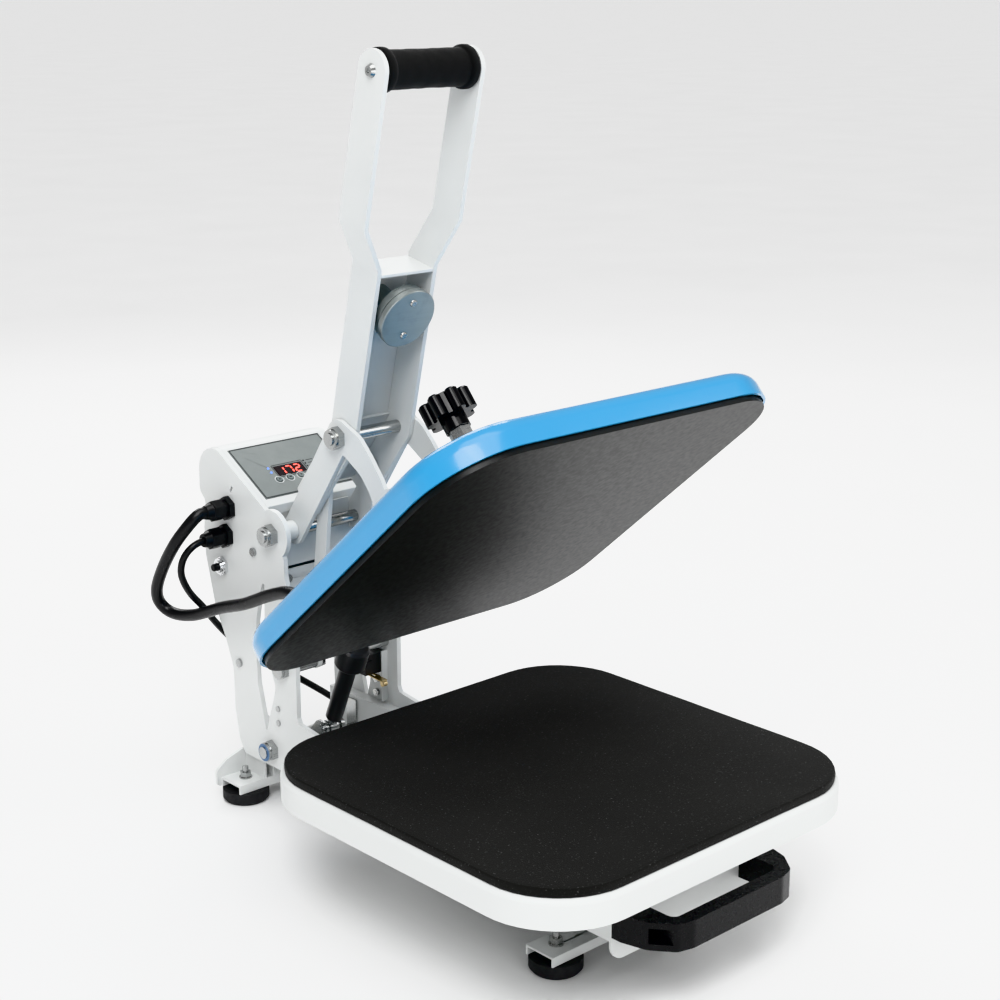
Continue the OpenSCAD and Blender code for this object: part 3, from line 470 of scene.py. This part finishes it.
LOOK = {
    "white": ["side_plate_left", "side_plate_right", "front_channel", "rear_channel", "base_rails",
              "shaft_spacers", "control_shell", "tower_cover", "switch_bracket", "print_tray",
              "drawer_frame", "arm_plate_left", "arm_plate_right", "arm_bridge",
              "lever_bar_left", "lever_bar_right", "lever_web", "links"],
    "zinc": ["slide_rails", "foot_bolts", "tower_bolts", "main_shaft", "link_studs", "small_screws",
             "spring_anchor", "drawer_runners", "handle_screws", "pressure_stud", "lever_shaft",
             "grip_rod", "lever_screws", "gas_tube_end"],
    "disc": ["magnet_body"],
    "chrome": ["breaker_body", "gas_rod"],
    "brass": ["switch_lever"],
    "rubber": ["feet"],
    "plastic": ["cable_glands", "limit_switch", "mains_plug", "platen_gland", "reset_button"],
    "handle": ["pull_handle"],
    "knob": ["star_knob"],
    "key": ["button_one", "button_two", "button_three", "button_four"],
    "overlay": ["panel_overlay"],
    "window": ["display_window"],
    "digits": ["display_digits"],
    "leds": ["status_leds"],
    "blue": ["platen_cover"],
    "coating": ["heat_plate"],
    "black_paint": ["gas_tube"],
    "pad": ["foam_pad"],
    "grip": ["foam_grip"],
    "cord": ["power_cord", "cord_coil", "heater_cable"],
}
for look, names in LOOK.items():
    for n in names:
        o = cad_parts[n]
        o.data.materials.clear()
        o.data.materials.append(M[look])
        for p in o.data.polygons:
            p.material_index = 0


def second_look(node, look, test):
    """Gives the faces that pass the test another material."""
    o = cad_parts[node]
    o.data.materials.append(M[look])
    k = len(o.data.materials) - 1
    for p in o.data.polygons:
        if test(p.center, p.normal):
            p.material_index = k


# Only the two lamps left of the display are lit.
second_look("status_leds", "led_off", lambda c, n: c.x > 0)
# Nylon rings of the lower lock nuts: their flat faces lie 75 mm from the middle.
RING_LO, RING_HI = 0.0749, 0.0751
second_look("tower_bolts", "nylon", lambda c, n: RING_LO < abs(c.x) < RING_HI and abs(n.x) > 0.9)

NO_BEVEL = {"display_digits", "status_leds", "print_tray", "foam_pad", "platen_cover",
            "heat_plate", "power_cord", "heater_cable", "cord_coil", "foam_grip"}
for name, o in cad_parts.items():
    for p in o.data.polygons:
        p.use_smooth = True
    weld = o.modifiers.new("weld", "WELD")
    weld.merge_threshold = 0.000005
    if name not in NO_BEVEL:
        bevel = o.modifiers.new("bevel", "BEVEL")
        bevel.width = 0.0005
        bevel.segments = 2
        bevel.limit_method = "ANGLE"
        bevel.angle_limit = math.radians(38)
    split = o.modifiers.new("split", "EDGE_SPLIT")
    split.split_angle = math.radians(37)
    split.use_edge_sharp = False
    wn = o.modifiers.new("weighted", "WEIGHTED_NORMAL")
    wn.keep_sharp = True


def dress(ob, look):
    ob.data.materials.clear()
    ob.data.materials.append(M[look])
    return ob


dress(power, "cord")
dress(heater, "cord")
dress(strap, "tie")


# ---- Foam pad --------------------------------------------------------------------

PZ0, PZ1 = 127.0, 135.0
rows = [(8.0, PZ0 + 0.02), (2.0, PZ0 + 0.02), (0.5, PZ0 + 0.5), (0.1, PZ0 + 2), (0.1, PZ0 + 4),
        (0.2, PZ0 + 5.4)]
rows += [(2.0 - 1.8 * math.cos(a), PZ0 + 5.9 + 1.9 * math.sin(a))
         for a in (math.radians(d) for d in (15, 35, 55, 75, 90))]
rows += [(6, PZ1 - 0.12), (12, PZ1 - 0.08), (25, PZ1 - 0.06), (45, PZ1 - 0.05), (80, PZ1 - 0.05),
         (120, PZ1 - 0.05), (150, PZ1 - 0.05), (172, PZ1 - 0.05), (184, PZ1 - 0.05)]
pad = slab("pad_foam", rows, 190, 72, Matrix.Translation(Vector((0, SHIFT, 0))), 0.5)
dress(pad, "pad")
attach(pad, "drawer")
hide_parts("foam_pad")


# ---- Foam grip -------------------------------------------------------------------

prof = [(-51, 8.3), (-51, 17.2), (-50.4, 18.6), (-49, 19.2), (-46, 19.3), (-43.5, 19.1),
        (-42.2, 18.2), (-41.6, 17.3)]
for i in range(29):
    x = -40.5 + 81 * i / 28
    prof.append((x, 16.9 - 0.35 * math.cos(math.pi * x / 90) + 0.15))
prof += [(-x, r) for x, r in reversed(prof[:8])]
grip = lathe("grip_sleeve", prof, LEVER @ Matrix.Translation((0, 0, 0.3385)), 72, 0.5, 3.0)
dress(grip, "grip")
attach(grip, "lever")
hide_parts("foam_grip")


# ---- Panel print -----------------------------------------------------------------

def flat_ring(name, matrix, w, h, r, line, z):
    """A thin printed line round a rectangle with round corners."""
    bm = bmesh.new()

    def loop(hw, hh, rr, zz):
        pts = []
        for cx, cy, a0 in ((hw - rr, hh - rr, 0), (rr - hw, hh - rr, 90),
                           (rr - hw, rr - hh, 180), (hw - rr, rr - hh, 270)):
            for i in range(7):
                a = math.radians(a0 + 15 * i)
                x, y = cx + rr * math.cos(a), cy + rr * math.sin(a)
                pts.append(bm.verts.new(matrix @ Vector((x / 1000, y / 1000, zz / 1000))))
        return pts

    a, b = loop(w / 2, h / 2, r, z), loop(w / 2 - line, h / 2 - line, max(r - line, 0.2), z)
    low = z - 0.12
    c, d = loop(w / 2, h / 2, r, low), loop(w / 2 - line, h / 2 - line, max(r - line, 0.2), low)
    n = len(a)
    for k in range(n):
        j = (k + 1) % n
        bm.faces.new((a[k], a[j], b[j], b[k]))
        bm.faces.new((c[j], c[k], d[k], d[j]))
        bm.faces.new((a[j], a[k], c[k], c[j]))
        bm.faces.new((b[k], b[j], d[j], d[k]))
    return new_object(name, bm, False)


def key_place(i):
    """Where the panel's key number i sits."""
    return PANEL @ Matrix.Translation(((-26 + 13 * i) / 1000, 0.033, 0))


mid = PANEL @ Matrix.Translation((-0.0005, 0.048, 0))
border = flat_ring("panel_border", mid, 108.4, 70.4, 2, 1.3, 0.6)
dress(border, "overlay_line")
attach(border, "base")
around = PANEL @ Matrix.Translation((-0.006, 0.044, 0))
bezel = flat_ring("display_bezel", around, 37, 17.5, 1.5, 0.8, 0.6)
dress(bezel, "overlay_line")
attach(bezel, "base")
for i in range(4):
    ring = flat_ring("key_ring_%d" % i, key_place(i), 9.4, 9.4, 4.6, 0.5, 0.6)
    dress(ring, "print_white")
    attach(ring, "base")


def flat_plate(name, matrix, outline, z, thick=0.14):
    """A thin printed shape standing a little off a face."""
    bm = bmesh.new()

    def loop(zz):
        return [bm.verts.new(matrix @ Vector((x / 1000, y / 1000, zz / 1000))) for x, y in outline]

    top, low = loop(z), loop(z - thick)
    bm.faces.new(top)
    bm.faces.new(list(reversed(low)))
    n = len(outline)
    for k in range(n):
        bm.faces.new((top[(k + 1) % n], top[k], low[k], low[(k + 1) % n]))
    return new_object(name, bm, False)


MARKS = {
    "one": [(-1.4, -1.0), (1.4, -1.0), (0, 1.5)],
    "two": [(-1.4, -0.9), (1.4, -0.9), (1.4, 0.9), (-1.4, 0.9)],
    "three": [(-1.4, 1.0), (0, -1.5), (1.4, 1.0)],
    "four": [(-1.3, -0.35), (1.3, -0.35), (1.3, 0.35), (-1.3, 0.35)],
}
for i, (word, shape) in enumerate(MARKS.items()):
    mark = flat_plate("key_mark_" + word, key_place(i), shape, 1.7)
    dress(mark, "overlay_line")
    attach(mark, "button_" + word)
for i, y in enumerate((43, 47, 51)):
    dash = flat_ring("led_dash_%d" % i, PANEL @ Matrix.Translation((0.0215, y / 1000, 0)),
                     8, 0.9, 0.3, 0.4, 0.58)
    dress(dash, "overlay_line")
    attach(dash, "base")


# A dark card behind the cover plate's slot: painted shade standing in for the shadowed inside seen
# through the slot.
upright = Matrix.Translation(Vector((0, SHIFT, 0))) @ Matrix.Rotation(math.radians(90), 4, "X")
shade_card_outline = [(-52, 232), (52, 232), (52, 254), (-52, 254)]
shade_card = flat_plate("slot_shade_card", upright, shade_card_outline, -333.5, 0.5)
dress(shade_card, "overlay_line")
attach(shade_card, "base")


# ---- Stage -----------------------------------------------------------------------

bm = bmesh.new()
FLOOR_SIZE = 90    # metres, so that its edge stays out of the picture at rest
bmesh.ops.create_grid(bm, x_segments=2, y_segments=2, size=FLOOR_SIZE)
floor = new_object("floor", bm)
m = Nodes("floor_paper")
n = m.noise(3, 2)
col = m.ramp(n, "Fac", [(0.3, (0.86, 0.86, 0.86)), (0.7, (0.88, 0.88, 0.88))])
m.link(col, "Color", m.bsdf, "Base Color")
m.bsdf.inputs["Roughness"].default_value = 0.85
floor.data.materials.append(m.mat)

# A soft room: bright overhead, paler at eye level, dim below, so metal has something to show.
world = bpy.data.worlds.new("studio")
bpy.context.scene.world = world
world.use_nodes = True
wt = world.node_tree
bg = wt.nodes["Background"]
wc = wt.nodes.new("ShaderNodeTexCoord")
ws = wt.nodes.new("ShaderNodeSeparateXYZ")
wr = wt.nodes.new("ShaderNodeValToRGB")
wt.links.new(wc.outputs["Generated"], ws.inputs["Vector"])
wt.links.new(ws.outputs["Z"], wr.inputs["Fac"])
wt.links.new(wr.outputs["Color"], bg.inputs["Color"])
stops = [(0.0, 0.80), (0.05, 0.78), (0.3, 0.42), (0.62, 0.62), (1.0, 0.9)]
e = wr.color_ramp.elements
while len(e) < len(stops):
    e.new(0.5)
for el, (pos, v) in zip(e, stops):
    el.position = pos
    el.color = (v, v, v, 1)
bg.inputs["Strength"].default_value = 0.75


def light(name, where, target, size, power, color=(1, 1, 1)):
    data = bpy.data.lights.new(name, "AREA")
    data.shape = "RECTANGLE"
    data.size, data.size_y = size
    data.energy = power
    data.color = color
    ob = bpy.data.objects.new(name, data)
    bpy.context.scene.collection.objects.link(ob)
    ob.location = where
    ob.rotation_euler = (Vector(target) - Vector(where)).to_track_quat("-Z", "Y").to_euler()
    return ob


light("key", (-1.5, -1.2, 2.1), (0, 0.05, 0.3), (1.2, 1.2), 34)
light("fill", (1.7, -1.5, 1.3), (0, 0, 0.3), (1.0, 1.4), 12)
light("rim", (0.9, 1.9, 1.6), (0, 0, 0.4), (1.6, 0.8), 20)
light("low", (-0.7, -2.0, 0.45), (0, 0.1, 0.2), (1.6, 0.6), 9)
sun = bpy.data.lights.new("sky", "SUN")
sun.energy = 1.5
sun.angle = math.radians(50)
sun_ob = bpy.data.objects.new("sky", sun)
bpy.context.scene.collection.objects.link(sun_ob)
sun_ob.rotation_euler = (math.radians(14), math.radians(-10), 0)
bpy.context.scene.view_settings.view_transform = "Khronos PBR Neutral"
